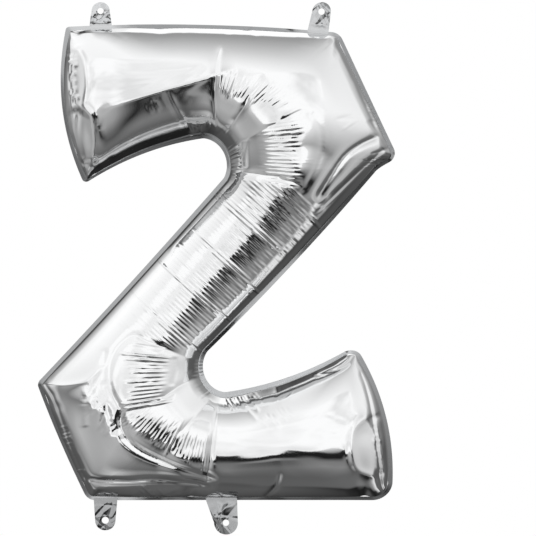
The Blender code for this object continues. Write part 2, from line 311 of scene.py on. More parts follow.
# points round an outline moved inward by inset, each with its rim coordinate
def rimPoints(corners, inset):
    count = len(corners)
    spots = [np.array(row[:2]) for row in corners]
    along = [spots[(i + 1) % count] - spots[i] for i in range(count)]
    along = [way / np.linalg.norm(way) for way in along]
    out = [np.array((-way[1], way[0])) for way in along]
    moved = []
    for i in range(count):
        before, after = spots[i - 1] - out[i - 1] * inset, spots[i] - out[i] * inset
        reach = cross(after - before, along[i]) / cross(along[i - 1], along[i])
        moved.append(before + along[i - 1] * reach)
    bends = []
    for i in range(count):
        side = 1 if cross(along[i - 1], along[i]) > 0 else -1
        radius = corners[i][2] + inset if side > 0 else max(corners[i][2] - inset, rimRule["leastRadius"])
        angle = math.acos(float(np.clip(along[i - 1] @ along[i], -1, 1)))
        cut = radius * math.tan(angle / 2)
        bends.append((moved[i] - along[i - 1] * cut + out[i - 1] * side * radius, radius, cut, side, angle))

    def bow(i, reach):
        return out[i] * corners[i][3] * 4 * reach * (1 - reach)

    share = rimRule["arcShare"]
    marks, points = [], []
    for i in range(count):
        centre, radius, cut, side, angle = bends[i]
        length = np.linalg.norm(moved[(i + 1) % count] - moved[i])
        run = length - cut - bends[(i + 1) % count][2]
        bowIn = bow(i - 1, 1 - cut / np.linalg.norm(moved[i] - moved[i - 1]))
        bowOut = bow(i, cut / length)
        steps = max(4, round(angle * radius / rimRule["step"]))
        for k in range(steps + 1):
            turn = angle * k / steps * side
            spoke = -out[i - 1] * side * radius
            spoke = np.array((
                spoke[0] * math.cos(turn) - spoke[1] * math.sin(turn),
                spoke[0] * math.sin(turn) + spoke[1] * math.cos(turn),
            ))
            points.append(centre + spoke + bowIn * (1 - k / steps) + bowOut * k / steps)
            marks.append(i + share * (2 * k / steps - 1))
        steps = max(2, round(run / rimRule["step"]))
        for k in range(1, steps):
            reach = (cut + run * k / steps) / length
            points.append(moved[i] + along[i] * reach * length + bow(i, reach))
            marks.append(i + share + (1 - 2 * share) * k / steps)
    return np.array(marks), np.array(points)


# a function from rim coordinates to points; corner i is at coordinate i
def rimReader(corners, inset):
    marks, points = rimPoints(corners, inset)
    count = len(corners)
    marks = np.concatenate((marks - count, marks, marks + count))
    points = np.concatenate((points, points, points))

    def read(where):
        return np.stack([np.interp(where, marks, points[:, k]) for k in (0, 1)], axis=-1)

    return read


weldOutside, weldInside = rimReader(letterRim, 0.0), rimReader(letterRim, rimRule["weld"])

# Film: a ladder whose rungs cross the tube from rail to rail, read at any place along it

film = {
    "rungs": (
        (0.0, 10.0), (0.345, 9.49), (0.503, 9.20), (0.614, 9.06), (0.825, 9.02), (1.44, 8.98),
        (2.5, 8.95), (3.225, 8.925), (3.62, 8.83), (3.90, 8.595), (3.94, 8.27), (4.0, 8.0),
        (4.03, 7.47), (4.06, 6.825), (4.085, 6.615), (4.20, 6.51), (4.45, 6.346), (5.0, 6.0),
    ),
    "startCap": 11.0,
    "endCap": 5.0,
    "roundness": 0.95,  # share of the full round height
    "formStep": 0.008,
    "formAcross": 36,
    "crowding": (0.55, 0.45),  # shares of columns crowded to the rim and evenly spread
    "rows": 1130,
    "across": 88,
    # how close the rows lie at places along the ladder: the bends have the finest ribs
    "closeness": (
        (0, 1.0), (2.4, 1.0), (2.9, 2.9), (6.9, 2.9), (7.3, 2.1),
        (11.0, 2.1), (11.4, 2.9), (14.6, 2.9), (15.0, 1.1), (17, 1.1),
    ),
    "polish": 500,  # rounds of the solver on the fine grid
    "edgeFade": 0.018,  # creases and ribs have their full depth from this height up
}

cloth = {
    "step": 0.0095,  # spacing of the threads
    "across": 24,
    "start": 0.35,  # share of the round height that the flat film starts with
    "frames": 60,
    "quickFrames": 12,
    "settings": {
        "quality": 5, "mass": 0.05, "air_damping": 3.0,
        "tension_stiffness": 60.0, "compression_stiffness": 30.0, "shear_stiffness": 30.0,
        "bending_stiffness": 0.01, "tension_damping": 10, "compression_damping": 10,
        "shear_damping": 10, "bending_damping": 1.0,
        "use_pressure": True, "uniform_pressure_force": 20.0,
    },
    "smoothing": 10,  # what this many rounds of smoothing remove is a fold
    "rimShare": 0.18,  # how much of the folds' height the film takes near the rim
    "crownShare": 0.04,  # and on the crown
    "crown": (0.035, 0.080),  # heights between which the one share passes into the other
}


# rim coordinates of both ends of the rungs at these places along the ladder
def railsAt(places):
    rungs = np.array(film["rungs"])
    steps = np.arange(len(rungs))
    return np.interp(places, steps, rungs[:, 0]), np.interp(places, steps, rungs[:, 1])


# places along the ladder so that its rungs lie about spacing apart on this rim
def evenPlaces(rim, spacing):
    last = len(film["rungs"]) - 1
    places = [np.zeros(1)]
    for k in range(last):
        outer, inner = railsAt(k + np.linspace(0, 1, 20))
        longest = max(np.linalg.norm(np.diff(rim(rail), axis=0), axis=1).sum() for rail in (outer, inner))
        closed = k in (0, last - 1)
        count = max(3, round(longest / spacing)) + (3 if closed else 0)
        share = np.arange(1, count + 1) / count
        if k == 0:
            share = share**2
        if k == last - 1:
            share = 1 - (1 - share) ** 2
        places.append(k + share)
    return np.concatenate(places)


def acrossShare(columns):
    even = np.arange(columns + 1) / columns
    crowded, spread = film["crowding"]
    return crowded * (1 - np.cos(np.pi * even)) / 2 + spread * even


# plan of the rungs at these places, bent out at the two end caps
def ladder(rim, places, share):
    def rung(place):
        outer, inner = railsAt(place)
        left, right = rim(outer)[..., None, :], rim(inner)[..., None, :]
        return left + (right - left) * share[:, None]

    last = len(film["rungs"]) - 1
    plan = rung(places)
    for end, along, where in ((0, places, film["startCap"] - share), (last, last - places, film["endCap"] + share)):
        push = rim(where) - rung(np.array(float(end)))
        fade = np.clip(1 - np.sqrt(np.clip(along, 0, 1)), 0, 1) ** 2
        plan += fade[:, None, None] * push[None]
    return plan


# slackness of a film held flat at its rim: its height is the root of twice this
def slackness(plan, guess=None, rounds=1200):
    rows, columns = plan.shape[:2]
    number = np.arange(rows * columns).reshape(rows, columns)
    flat = plan.reshape(-1, 2)
    quads = (number[:-1, :-1], number[1:, :-1], number[1:, 1:], number[:-1, 1:])
    quads = np.stack(quads, axis=-1).reshape(-1, 4)
    triangles = np.concatenate((quads[:, (0, 1, 2)], quads[:, (0, 2, 3)]))
    edge = [flat[triangles[:, (k + 2) % 3]] - flat[triangles[:, (k + 1) % 3]] for k in range(3)]
    area = np.abs(cross(edge[0].T, edge[1].T)) / 2
    inside = np.zeros(len(flat), bool)
    inside[number[1:-1, 1:-1].ravel()] = True
    load = np.zeros(len(flat))
    ends, starts, pulls = [], [], []
    for i in range(3):
        np.add.at(load, triangles[:, i], area / 3)
        for j in range(3):
            ends.append(triangles[:, i])
            starts.append(triangles[:, j])
            pulls.append((edge[i] * edge[j]).sum(axis=1) / (4 * area))
    ends, starts, pulls = np.concatenate(ends), np.concatenate(starts), np.concatenate(pulls)
    same = ends == starts
    scale = np.bincount(ends[same], pulls[same], len(flat))

    def pull(values):
        return np.where(inside, np.bincount(ends, pulls * values[starts], len(flat)), 0)

    lift = np.zeros(len(flat)) if guess is None else guess.ravel().copy()
    rest = np.where(inside, load, 0) - pull(lift)
    eased = rest / scale
    way = eased.copy()
    size = rest @ eased
    for _ in range(rounds):  # conjugate gradients
        pulled = pull(way)
        step = size / (way @ pulled)
        lift += step * way
        rest -= step * pulled
        eased = rest / scale
        after = rest @ eased
        if after < 1e-16:
            break
        way = eased + after / size * way
        size = after
    return np.maximum(lift, 0).reshape(rows, columns)


# smooth curve through values along the first axis, read at fractional places
def catmull(values, where):
    last = len(values) - 1
    cell = np.clip(np.floor(where).astype(int), 0, last - 1)
    part = (where - cell).reshape(-1, *([1] * (values.ndim - 1)))
    a, b = values[np.maximum(cell - 1, 0)], values[cell]
    c, d = values[cell + 1], values[np.minimum(cell + 2, last)]
    bend = (2 * a - 5 * b + 4 * c - d) * part**2 + (3 * b - a - 3 * c + d) * part**3
    return b + 0.5 * ((c - a) * part + bend)


# reads a grid given at coarse places and columns at the film's own rows and columns
def readGrid(values, places, at, columns):
    rowAt = np.interp(at, places, np.arange(len(places)))
    columnAt = np.linspace(0, values.shape[1] - 1, columns + 1)
    return catmull(catmull(values, rowAt).swapaxes(0, 1), columnAt).swapaxes(0, 1)


def unfold(rim):
    places = evenPlaces(rim, film["formStep"])
    share = acrossShare(film["formAcross"])
    plan = ladder(rim, places, share)
    slack = slackness(plan)
    middle = film["formAcross"] // 2
    crown = np.concatenate((plan[:, middle], np.sqrt(2 * slack[:, middle, None])), axis=1)
    steps = np.linalg.norm(np.diff(crown, axis=0), axis=1)
    centres = (places[1:] + places[:-1]) / 2
    steps *= np.interp(centres, *np.array(film["closeness"]).T)
    count = np.concatenate(((0,), np.cumsum(steps)))
    at = np.interp(np.linspace(0, count[-1], film["rows"] + 1), count, places)
    fine = ladder(rim, at, acrossShare(film["across"]))
    slack = np.maximum(readGrid(slack, places, at, film["across"]), 0)
    slack[0] = slack[-1] = slack[:, 0] = slack[:, -1] = 0
    slack = slackness(fine, slack, film["polish"])
    return at, fine, film["roundness"] * np.sqrt(2 * slack)


# adds a grid whose vertex in row r and column c lies at spots[r, c]; gives each with its r and c
def placeGrid(shape, spots):
    rows, columns = spots.shape[:2]
    made = bmesh.ops.create_grid(shape, x_segments=rows - 1, y_segments=columns - 1, size=0.5)["verts"]
    places = []
    for vertex in made:
        row = round((vertex.co.x + 0.5) * (rows - 1))
        column = round((vertex.co.y + 0.5) * (columns - 1))
        vertex.co = spots[row, column]
        places.append((vertex, row, column))
    return places


# Cloth simulation: two flat layers joined at the rim, blown up by pressure
def blowUp(plan, height):
    rows, columns = height.shape
    shape = bmesh.new()
    mark = shape.verts.layers.int.new("mark")
    for layer, side in enumerate((-1, 1)):
        lifted = np.stack((plan[..., 0], side * height * cloth["start"], plan[..., 1]), axis=-1)
        for vertex, row, column in placeGrid(shape, lifted):
            vertex[mark] = (layer * rows + row) * columns + column
    bmesh.ops.remove_doubles(shape, verts=shape.verts, dist=1e-6)
    bmesh.ops.recalc_face_normals(shape, faces=shape.faces)
    marks = np.array([vertex[mark] for vertex in shape.verts])
    blown = addObject("blown", meshOf("blown", shape))
    modifier = blown.modifiers.new("cloth", "CLOTH")
    for name, setting in cloth["settings"].items():
        setattr(modifier.settings, name, setting)
    modifier.settings.effector_weights.gravity = 0
    modifier.collision_settings.use_collision = False
    frames = cloth["frames"]
    modifier.point_cache.frame_end = frames
    for number in range(1, frames + 1):
        bpy.context.scene.frame_set(number)
    settled = blown.evaluated_get(bpy.context.evaluated_depsgraph_get()).data
    spots = np.empty(len(settled.vertices) * 3)
    settled.vertices.foreach_get("co", spots)
    bpy.data.objects.remove(blown, do_unlink=True)
    bpy.context.scene.frame_set(1)
    grids = np.full((2 * rows * columns, 3), np.nan)
    grids[marks] = spots.reshape(-1, 3)
    grids = grids.reshape(2, rows, columns, 3)
    for lost, kept in ((0, 1), (1, 0)):  # a rim vertex is shared by both layers
        gap = np.isnan(grids[lost, ..., 0])
        grids[lost][gap] = grids[kept][gap]
    return grids


# turns and shifts the blown letter onto its rim
def alignToRim(grids, target):
    rim = np.concatenate((grids[0, :, 0], grids[0, :, -1]))[:, (0, 2)]
    centre, middle = rim.mean(axis=0), target.mean(axis=0)
    turn, _, other = np.linalg.svd((rim - centre).T @ (target - middle))
    turn = turn @ np.diag((1, np.sign(np.linalg.det(turn @ other)))) @ other
    flat = (grids[..., (0, 2)] - centre) @ turn + middle
    return np.stack((flat[..., 0], grids[..., 1] - grids[0, :, 0, 1].mean(), flat[..., 1]), axis=-1)


# averages a grid with its neighbours, its edges held
def smoothGrid(grid, times):
    for _ in range(times):
        for axis in (0, 1):
            grid = np.moveaxis(grid, axis, 0)
            inner = (grid[:-2] + 2 * grid[1:-1] + grid[2:]) / 4
            grid = np.moveaxis(np.concatenate((grid[:1], inner, grid[-1:])), 0, axis)
    return grid


# small folds of both layers, at the film's own rows and columns
def simulateFolds(at):
    rim = rimReader(flatPattern, rimRule["weld"])
    places = evenPlaces(rim, cloth["step"])
    share = acrossShare(cloth["across"])
    plan = ladder(rim, places, share)
    grids = blowUp(plan, np.sqrt(2 * slackness(plan)))
    outer, inner = railsAt(places)
    grids = alignToRim(grids, np.concatenate((weldInside(outer), weldInside(inner))))
    folds = []
    for grid in grids:
        fold = grid - smoothGrid(grid, cloth["smoothing"])
        folds.append(readGrid(fold, places, at, film["across"]))
    return folds


def surfaceNormals(spots, side):
    normals = np.cross(*np.gradient(spots, axis=(0, 1)))
    normals /= np.maximum(np.linalg.norm(normals, axis=-1, keepdims=True), 1e-12)
    return normals if normals[..., 1].mean() * side > 0 else -normals


def smoothStep(values, low, high):
    part = np.clip((values - low) / (high - low), 0, 1)
    return part * part * (3 - 2 * part)


# height of a fold at a distance from its line, as a share
def foldShape(away, rounding, width):
    return np.exp(-(np.hypot(away, rounding) - rounding) / width)


# Creases: the photo's pixels that each passes through, its depth in millimetres at its start and end,
# and its width in millimetres. A negative depth is a ridge.

creases = {
    "upper fan": (
        ((217, 134), (216, 100), (217, 75), (219, 60), (223, 49), 2.5, 1.5, 3),
        ((222, 142), (236, 124), (246, 110), (252, 96), (264, 78), 3.5, 1, 5),
        ((230, 173), (250, 175), (266, 178), (284, 182), (304, 189), 3, 3, 4),
    ),
    "upper pillow": (
        ((226, 152), (260, 136), (280, 126), (300, 116), (311, 118), 1.6, 1.2, 5),
        ((302, 115), (313, 121), (320, 136), (320, 152), (315, 170), (305, 188), (296, 198), 1.2, 3.7, 8),
        ((248, 141), (246, 156), (246, 172), 1.5, 1.5, 3),
    ),
    "slanted stroke": (
        ((168, 253), (198, 223), (230, 189), -3.4, -3.4, 4),
    ),
    "top bar": (
        ((78, 122), (110, 112), (150, 100), (185, 90), (215, 81), (238, 74), -1.4, -5.6, 9),
        ((92, 84), (118, 88), (160, 84), (206, 72), 0.35, 0.35, 4),
        ((88, 100), (120, 98), (170, 84), (212, 66), 0.3, 0.3, 3),
        ((94, 62), (112, 68), (140, 72), (190, 68), 0.35, 0.2, 4),
        ((194, 136), (182, 117), (170, 93), 2.0, 0.4, 2),
        ((186, 132), (174, 110), (166, 92), 1.5, 0.3, 1.6),
    ),
    "left cap": (
        ((78, 48), (87, 64), (90, 84), (88, 100), (82, 118), -8, -8, 9),
        ((78, 52), (74, 70), (74, 88), (77, 102), (84, 116), 3, 3, 3),
        ((58, 54), (84, 56), 2.5, 2.5, 2),
        ((58, 121), (74, 116), (90, 110), 3, 3, 2.5),
        ((82, 108), (94, 118), (97, 134), (97, 150), (92, 168), -6, -6, 7),
        ((84, 110), (80, 126), (81, 142), (86, 162), 3, 3, 3),
        ((72, 160), (86, 163), (100, 160), 3, 3, 3),
        ((96, 118), (112, 110), (126, 104), 1.5, 0.3, 4),
    ),
    "right corner": (
        ((384, 148), (360, 170), (340, 189), (312, 216), 3.5, 2.5, 3),
        ((368, 155), (392, 147), 2.0, 2.0, 2),
        ((368, 120), (381, 140), (392, 152), 3, 3, 3),
        ((334, 34), (348, 66), (360, 96), (376, 134), 3, 3, 3),
        ((380, 136), (358, 147), (340, 163), (314, 204), 9.0, 6, 5),
    ),
    "lower fan": (
        ((127, 406), (148, 403), (165, 394), (184, 382), (206, 373), 3.5, 3, 5),
        ((219, 400), (216, 420), (212, 450), (207, 481), 2.5, 2, 3),
        ((212, 396), (196, 414), (178, 432), 2.5, 1, 5),
    ),
    "lower pillow": (
        ((214, 364), (203, 361), (178, 351), (150, 339), (136, 334), (120, 348), (113, 370), (116, 390), (127, 406),
         (140, 414), 3.0, 2.6, 6),
        ((128, 400), (125, 416), (130, 432), (146, 446), (176, 460), (206, 471), (222, 476), 7, 4, 5),
        ((176, 354), (178, 368), (174, 384), 1.5, 1.5, 3),
    ),
    "left corner": (
        ((42, 379), (60, 383), (76, 382), (92, 377), (110, 362), -3.5, -2.0, 5),
        ((42, 378), (54, 394), (64, 416), (76, 450), (92, 492), 4, 4, 3),
        ((110, 345), (104, 372), (89, 400), 1.5, 2, 4),
        ((89, 400), (90, 424), 1.5, 1.5, 3),
        ((107, 376), (108, 394), (114, 412), (120, 432), 1.5, 2.5, 4),
        ((80, 476), (126, 477), (160, 475), (214, 482), 6, 5, 3),
    ),
    "right cap": (
        ((370, 410), (353, 424), (350, 446), (356, 466), (378, 474), -7, -7, 7),
        ((357, 364), (366, 390), (371, 416), (375, 446), (380, 478), 3, 3, 3),
        ((366, 417), (390, 413), 2.5, 2.5, 2),
        ((358, 348), (344, 366), (312, 376), 3, 2, 3),
        ((376, 464), (381, 484), (390, 500), 3, 3, 2.5),
        ((372, 472), (398, 468), 2.5, 2.5, 2),
    ),
    "bottom bar": (
        ((310, 430), (334, 418), (350, 394), 0.3, 0.5, 4),
        ((236, 396), (248, 408), (258, 418), 1.5, 0.5, 2),
        ((244, 393), (260, 410), 1.5, 0.5, 2),
        ((280, 467), (276, 482), (264, 496), 1.5, 1.5, 2),
    ),
}

creaseRule = {
    "rounding": 0.0008,  # how round the bottom of a shallow crease is
    "roundingShare": 0.25,  # a deep one adds this share of its depth
    "roundest": 0.0020,
    "fade": (0.02, 0.04),  # distances between which a crease fades out
    "taper": 0.12,  # share of each crease over which it fades in and out
    "smoothing": 6,  # pieces that each stretch between two points is cut into
}


# distance of plan points from a smooth line through pixels, and how far along it each lies
def nearLine(x, z, line):
    line = np.array([photoPoint(*spot) for spot in line])
    if len(line) > 2:
        line = catmull(line, np.linspace(0, len(line) - 1, (len(line) - 1) * creaseRule["smoothing"] + 1))
    best = np.full(x.shape, 1e9)
    reach = np.zeros(x.shape)
    lengths = np.linalg.norm(np.diff(line, axis=0), axis=1)
    run = 0.0
    for (ax, az), (bx, bz), length in zip(line, line[1:], lengths):
        along = np.clip(((x - ax) * (bx - ax) + (z - az) * (bz - az)) / length**2, 0, 1)
        away = np.hypot(x - ax - along * (bx - ax), z - az - along * (bz - az))
        closer = away < best
        best = np.where(closer, away, best)
        reach = np.where(closer, (run + along * length) / lengths.sum(), reach)
        run += length
    return best, reach


def carveCreases(x, z):
    lift = np.zeros(x.shape)
    start, stop = creaseRule["fade"]
    taper = creaseRule["taper"]
    for *line, first, last, width in (crease for group in creases.values() for crease in group):
        low = np.min([photoPoint(*spot) for spot in line], axis=0) - stop
        high = np.max([photoPoint(*spot) for spot in line], axis=0) + stop
        near = (x > low[0]) & (x < high[0]) & (z > low[1]) & (z < high[1])
        away, reach = nearLine(x[near], z[near], line)
        depth = (first + (last - first) * reach) * millimetre
        depth *= smoothStep(reach, 0, taper) * (1 - smoothStep(reach, 1 - taper, 1))
        rounding = creaseRule["rounding"] + creaseRule["roundingShare"] * max(abs(first), abs(last)) * millimetre
        shape = foldShape(away, min(rounding, creaseRule["roundest"]), width * millimetre)
        lift[near] -= depth * shape * (1 - smoothStep(away, start, stop))
    return lift


# Swells: broad low bulges, each with the pixel of its middle, its reach sideways and up in pixels, and
# its height in millimetres

swells = (
    ((304, 184), (36, 36), 7.0),
    ((186, 462), (28, 28), 4.0),
    ((210, 464), (70, 26), 4.5),
    ((283, 454), (60, 27), 3.4),
    ((350, 455), (66, 28), 4.0),
    ((96, 400), (26, 26), 3.0),
)


def swell(x, z):
    total = np.zeros(x.shape)
    for middle, (sideways, upward), height in swells:
        mx, mz = photoPoint(*middle)
        share = np.hypot((x - mx) / (sideways * pixel), (z - mz) / (upward * pixel))
        total += height * millimetre * np.clip(1 - share**2, 0, 1) ** 2
    return total


# Crumpled spots: each has the pixel of its middle, its radius in pixels, how many short folds it has,
# their height in millimetres and their mean slope in degrees.

crumples = {
    "seed": 21,
    "width": 0.0022,
    "rounding": 0.0006,
    "slopeSpread": 24,
    "spread": 0.8,  # share of the radius that the folds' lines reach
    "core": 0.35,  # share of the radius from which the folds fade out
    "spots": (
        ((98, 396), 20, 16, 1.3, 80),
        ((112, 420), 14, 10, 1.2, 60),
        ((130, 440), 11, 6, 0.5, -35),
        ((308, 38), 20, 12, 0.6, -12),
        ((120, 34), 18, 10, 0.4, 4),
        ((334, 52), 12, 8, 0.6, -50),
        ((345, 126), 13, 8, 0.5, 30),
        ((334, 424), 20, 12, 0.45, 24),
        ((100, 78), 14, 7, 0.35, 20),
        ((100, 126), 10, 7, 0.7, 60),
        ((365, 372), 12, 7, 0.7, 65),
        ((228, 156), 9, 7, 0.6, 5),
        ((212, 380), 9, 7, 0.6, 10),
        ((382, 484), 9, 6, 0.7, 60),
        ((94, 480), 9, 6, 0.7, 20),
    ),
}


def crumple(x, z, seed):
    chance = np.random.default_rng(seed)
    total = np.zeros(x.shape)
    for middle, radius, folds, height, slope in crumples["spots"]:
        mx, mz = photoPoint(*middle)
        size = radius * pixel
        dx, dz = x - mx, z - mz
        near = np.hypot(dx, dz) < size
        dx, dz = dx[near], dz[near]
        lift = np.zeros(dx.shape)
        for _ in range(folds):
            angle = math.radians(slope + chance.normal() * crumples["slopeSpread"])
            shift = chance.uniform(-crumples["spread"], crumples["spread"]) * size
            away = np.abs(dz * math.cos(angle) - dx * math.sin(angle) - shift)
            shape = foldShape(away, crumples["rounding"], crumples["width"])
            lift += chance.uniform(-1, 1) * height * millimetre * shape
        total[near] += lift * (1 - smoothStep(np.hypot(dx, dz), size * crumples["core"], size))
    return total


# Ribs: patches of narrow pleats. Each patch has the pixels where its first and last rib have their
# middles, the slope of those two ribs in degrees, how far they reach either way, their pitch, and
# their strength at their two ends.

ribs = {
    "height": 0.00050,
    "seed": 4,
    "jitter": 0.10,  # how far a rib strays from its even place, in ribs
    "heights": (0.5, 1.2),  # least and most share of the height
    "lengths": (0.7, 1.1),  # and of the reach
    "body": 0.5,  # share of the reach from which a rib fades out
    "margin": 1.5,  # no rib reaches farther than this share
    "boldEvery": 11,  # in each run of this many ribs, these are bold
    "boldOnes": (3, 4),
    "boldHeight": 2.4,
    "boldLength": 1.3,
    "dash": 0.010,  # the height of a rib wanders over this length, between these shares
    "wander": (0.35, 1.5),
    "widest": 0.02,  # ribs farther apart than this leave the film flat
    "patches": {
        "diagonal": ((290, 188), (140, 350), (-42, -42), (52, 48), 3.9, (0.25, 2.0)),
        "upperPillow": ((283, 124), (281, 187), (8, -8), (24, 20), 3.9, (1.0, 1.7)),
        "lowerPillow": ((150, 343), (150, 403), (-8, 10), (23, 23), 3.9, (2.8, 1.8)),
        "upperFanLeft": ((220, 86), (247, 96), (84, 55), (12, 14), 3.4, (2.2, 0.6)),
        "upperFanRight": ((252, 94), (288, 108), (50, 28), (16, 18), 3.6, (1.3, 0.8)),
        "lowerFan": ((134, 408), (208, 450), (36, 84), (18, 18), 3.4, (1.2, 1.0)),
        "topBar": ((150, 113), (168, 105), (-62, -62), (6, 7), 3.4, (0.5, 0.5)),
        "leftCap": ((75, 57), (78, 110), (8, -8), (6, 6), 3.0, (2.6, 2.6)),
        "leftEdge": ((66, 424), (83, 470), (20, 20), (7, 5), 3.4, (1, 1)),
        "rightCap": ((372, 421), (378, 467), (8, 8), (4, 5), 5.2, (1.6, 1.6)),
        "rightEdge": ((364, 101), (377, 129), (-20, -20), (4, 4), 4.0, (1, 1)),
        "bottomEdge": ((140, 486), (164, 488), (-50, -50), (9, 8), 3.6, (0.5, 0.5)),
        "upperNotch": ((184, 126), (212, 123), (-70, 88), (8, 8), 3.6, (1, 0.6)),
        "upperBend": ((234, 146), (240, 182), (28, -20), (9, 9), 3.6, (1, 0.8)),
        "lowerNotch": ((199, 359), (208, 394), (-12, 30), (10, 8), 3.6, (0.8, 1)),
        "lowerBend": ((222, 404), (260, 396), (-60, -48), (8, 7), 3.6, (0.9, 0.9)),
        "bottomBar": ((262, 420), (290, 408), (-48, -48), (9, 9), 4.0, (0.3, 0.3)),
    },
    # the ribs of the slanted stroke stop at the creases where the two bends begin
    "ends": (((230, 173), (304, 189)), ((203, 361), (134, 332))),
    "endFade": (0.002, 0.009),  # and fade in over this stretch from them
}


# share of the slanted stroke's ribs: one between its two end creases, nothing beyond
def betweenEnds(x, z):
    share = np.ones(x.shape)
    for first, last in ribs["ends"]:
        (ax, az), (bx, bz) = photoPoint(*first), photoPoint(*last)
        length = math.dist((ax, az), (bx, bz))
        beyond = ((x - ax) * (bz - az) - (z - az) * (bx - ax)) / length
        share *= smoothStep(beyond, *ribs["endFade"])
    return share


def pleat(x, z, seed):
    chance = np.random.default_rng(seed)
    total = np.zeros(x.shape)
    for name, (first, last, slopes, reaches, pitch, strengths) in ribs["patches"].items():
        (ax, az), (bx, bz) = photoPoint(*first), photoPoint(*last)
        span = math.dist((ax, az), (bx, bz))
        margin = max(reaches) * pixel * ribs["margin"]
        near = np.hypot(x - (ax + bx) / 2, z - (az + bz) / 2) < span / 2 + margin
        px, pz = x[near], z[near]
        count = max(2, round(math.dist(first, last) / pitch))
        lift = np.zeros(px.shape)
        before = None
        for k in range(count + 1):
            share = (k + ribs["jitter"] * chance.normal()) / count
            slope = math.radians(slopes[0] + (slopes[1] - slopes[0]) * share)
            dx, dz = px - ax - (bx - ax) * share, pz - az - (bz - az) * share
            away = dz * math.cos(slope) - dx * math.sin(slope)
            along = dx * math.cos(slope) + dz * math.sin(slope)
            bold = k % ribs["boldEvery"] in ribs["boldOnes"]
            height = ribs["height"] * (ribs["boldHeight"] if bold else chance.uniform(*ribs["heights"]))
            longest = ribs["boldLength"] if bold else ribs["lengths"][1]
            low, high = (reach * pixel * chance.uniform(ribs["lengths"][0], longest) for reach in reaches)
            knots = chance.uniform(*ribs["wander"], round((low + high) / ribs["dash"]) + 2)
            if before is not None:
                inside = (before * away <= 0) & (np.abs(before - away) < ribs["widest"])
                gap = before[inside] - away[inside]
                phase = np.clip(before[inside] / np.where(gap == 0, 1.0, gap), 0, 1)
                run = along[inside]
                size = np.interp(run, np.linspace(-low, high, len(knots)), knots)
                size *= np.interp(run, (-low, high), strengths)
                size *= smoothStep(run, -low, -low * ribs["body"]) * (1 - smoothStep(run, high * ribs["body"], high))
                lift[inside] += height * size * np.sin(math.pi * phase)
            before = away
        if name == "diagonal":
            lift *= betweenEnds(px, pz)
        total[near] += lift
    return total


# a smooth sheet with its vertices at spots, its faces pointing away from the gas
def meshFromGrid(name, spots, flip):
    shape = bmesh.new()
    placeGrid(shape, spots)
    if flip:
        bmesh.ops.reverse_faces(shape, faces=shape.faces)
    mesh = meshOf(name, shape)
    mesh.shade_smooth()
    return mesh


# a thin sheet closed to a ring, with how much painted shade darkens it at each row and how far it is moved back
def thinSheet(name, spots, dullness, thickness, shift=0.0):
    spots[-1] = spots[0]
    shape = bmesh.new()
    layer = shape.verts.layers.float.new("dullness")
    for vertex, row, column in placeGrid(shape, spots):
        vertex[layer] = dullness[row]
    bmesh.ops.remove_doubles(shape, verts=shape.verts, dist=1e-6)
    bmesh.ops.recalc_face_normals(shape, faces=shape.faces)
    bmesh.ops.solidify(shape, geom=shape.faces[:], thickness=thickness)
    bmesh.ops.translate(shape, verts=shape.verts, vec=(0, shift, 0))
    bmesh.ops.recalc_face_normals(shape, faces=shape.faces)
    mesh = meshOf(name, shape)
    mesh.shade_smooth()
    mesh.set_sharp_from_angle(angle=sharpAngle)
    return mesh


def addPiece(name, mesh, material):
    mesh.materials.append(material)
    return addObject(name, mesh)


# Foil: its roughness varies in soft clouds, over a fine and very low grain

foil = {
    "silver": ((0.93, 0.935, 0.94), 0.07),  # colour and roughness
    # the weld's colour is darker than the silver's as painted shade on the same foil; its higher roughness makes it
    # duller
    "welded": ((0.70, 0.71, 0.72), 0.16),
    "cloudNoise": {"Scale": 14.0, "Detail": 4.0},
    "clouds": (0.6, 0.8),  # least share of the roughness, and what the clouds add to it
    "grainNoise": {"Scale": 420.0, "Detail": 3.0},
    "grain": {"Strength": 0.05, "Distance": 0.0004},
}


# darker colour, as painted shade, where a mesh's own attribute says so
def foilMaterial(name, colour, roughness, attribute=None):
    material = bpy.data.materials.new(name)
    material.use_nodes = True
    tree = Tree(material.node_tree)
    shader = material.node_tree.nodes["Principled BSDF"]
    place = tree.node("ShaderNodeTexCoord", None, None, "Object")
    cloud = tree.node("ShaderNodeTexNoise", None, {"Vector": place, **foil["cloudNoise"]})
    grain = tree.node("ShaderNodeTexNoise", None, {"Vector": place, **foil["grainNoise"]})
    least, added = foil["clouds"]
    dull = roughness * least + cloud * roughness * added
    bump = tree.node("ShaderNodeBump", None, {**foil["grain"], "Height": grain})
    shader.inputs["Base Color"].default_value = (*colour, 1.0)
    # painted shade: the attribute darkens the base colour towards its darkest share
    if attribute:
        dullness = tree.node("ShaderNodeAttribute", {"attribute_name": attribute}, None, "Fac")
        darkest = [level * rim["darkest"] for level in colour]
        tone = tree.node("ShaderNodeMix", {"data_type": "RGBA"}, {0: dullness, 6: (*colour, 1), 7: (*darkest, 1)}, 2)
        material.node_tree.links.new(tone.socket, shader.inputs["Base Color"])
    shader.inputs["Metallic"].default_value = 1.0
    material.node_tree.links.new(dull.socket, shader.inputs["Roughness"])
    material.node_tree.links.new(bump.socket, shader.inputs["Normal"])
    return material


# Welded rim: the flat flange round the bulge, ruffled a little and leaning as the photo shows

